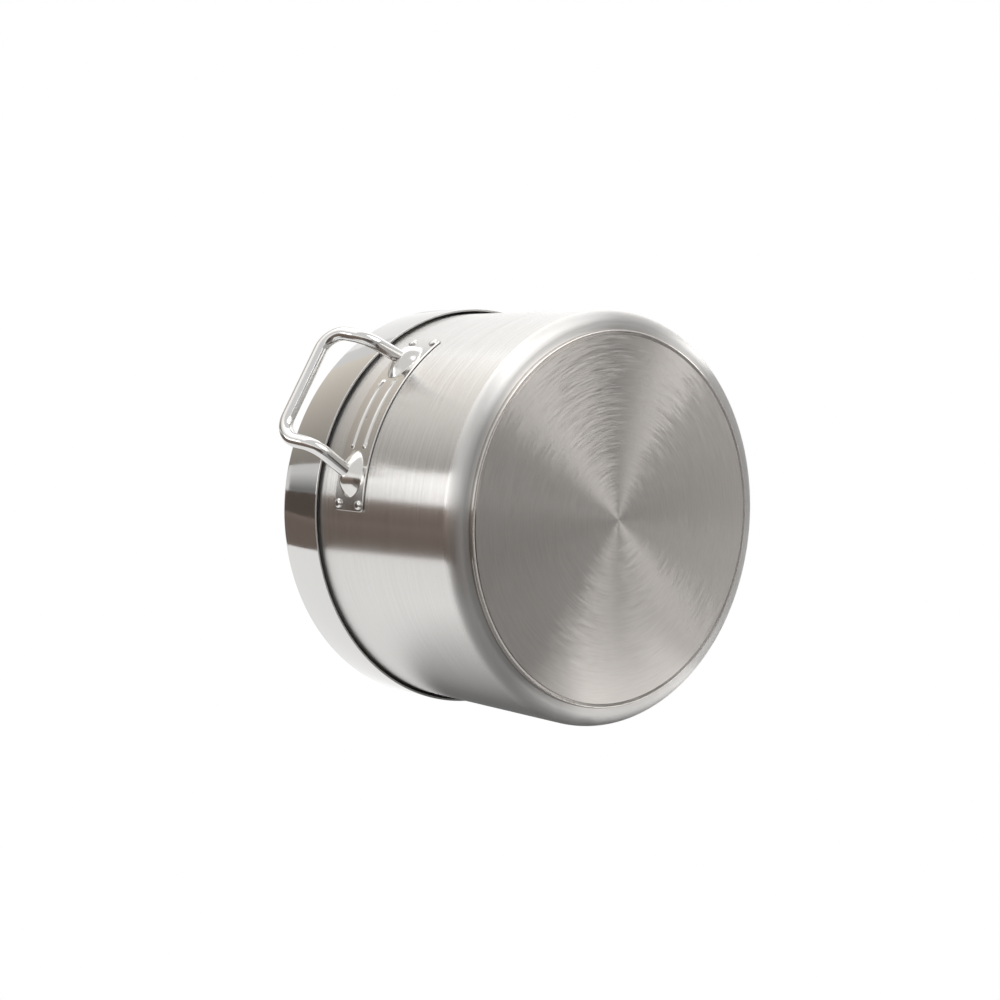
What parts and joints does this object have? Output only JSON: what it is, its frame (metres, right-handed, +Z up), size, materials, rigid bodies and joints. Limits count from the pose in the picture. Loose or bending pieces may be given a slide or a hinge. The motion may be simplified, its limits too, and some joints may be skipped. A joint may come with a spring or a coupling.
{
  "type": "cooking pot with lid",
  "caption": "Straight-sided stainless steel cooking pot with an encapsulated base, riveted rod side handles and a cap lid that lifts off",
  "frame": {"origin": "middle of the base, on the face that stands on the hob", "axes": "+Z up along the pot's axis; the side handles lie on +X and -X, so X is the longest extent; Z is the shortest"},
  "size_m": [0.3156, 0.246, 0.2084],
  "materials": {
    "shell_steel": "satin, brushed round the wall",
    "base_steel": "turned in fine concentric rings",
    "lid_steel": "mirror polished",
    "strap_steel": "polished, pressed from sheet",
    "rod_steel": "polished round bar",
    "rivet_steel": "polished",
    "core_aluminium": "rolled, sealed inside the base"
  },
  "bodies": {
    "pot": {"pot_shell": "shell_steel", "base_cap": "base_steel", "base_core": "core_aluminium", "right_handle_strap": "strap_steel", "right_handle_rod": "rod_steel", "right_rivet_front_low": "rivet_steel", "right_rivet_front_high": "rivet_steel", "right_rivet_back_low": "rivet_steel", "right_rivet_back_high": "rivet_steel", "left_handle_strap": "strap_steel", "left_handle_rod": "rod_steel", "left_rivet_front_low": "rivet_steel", "left_rivet_front_high": "rivet_steel", "left_rivet_back_low": "rivet_steel", "left_rivet_back_high": "rivet_steel"},
    "lid": {"lid_shell": "lid_steel", "lid_handle_strap": "strap_steel", "lid_handle_rod": "rod_steel", "lid_rivet_front_low": "rivet_steel", "lid_rivet_front_high": "rivet_steel", "lid_rivet_back_low": "rivet_steel", "lid_rivet_back_high": "rivet_steel"}
  },
  "joints": [
    {"name": "lid_lift", "type": "slide", "parent": "pot", "child": "lid", "axis": [0, 0, 1], "range_m": [0, 0.25]}
  ]
}
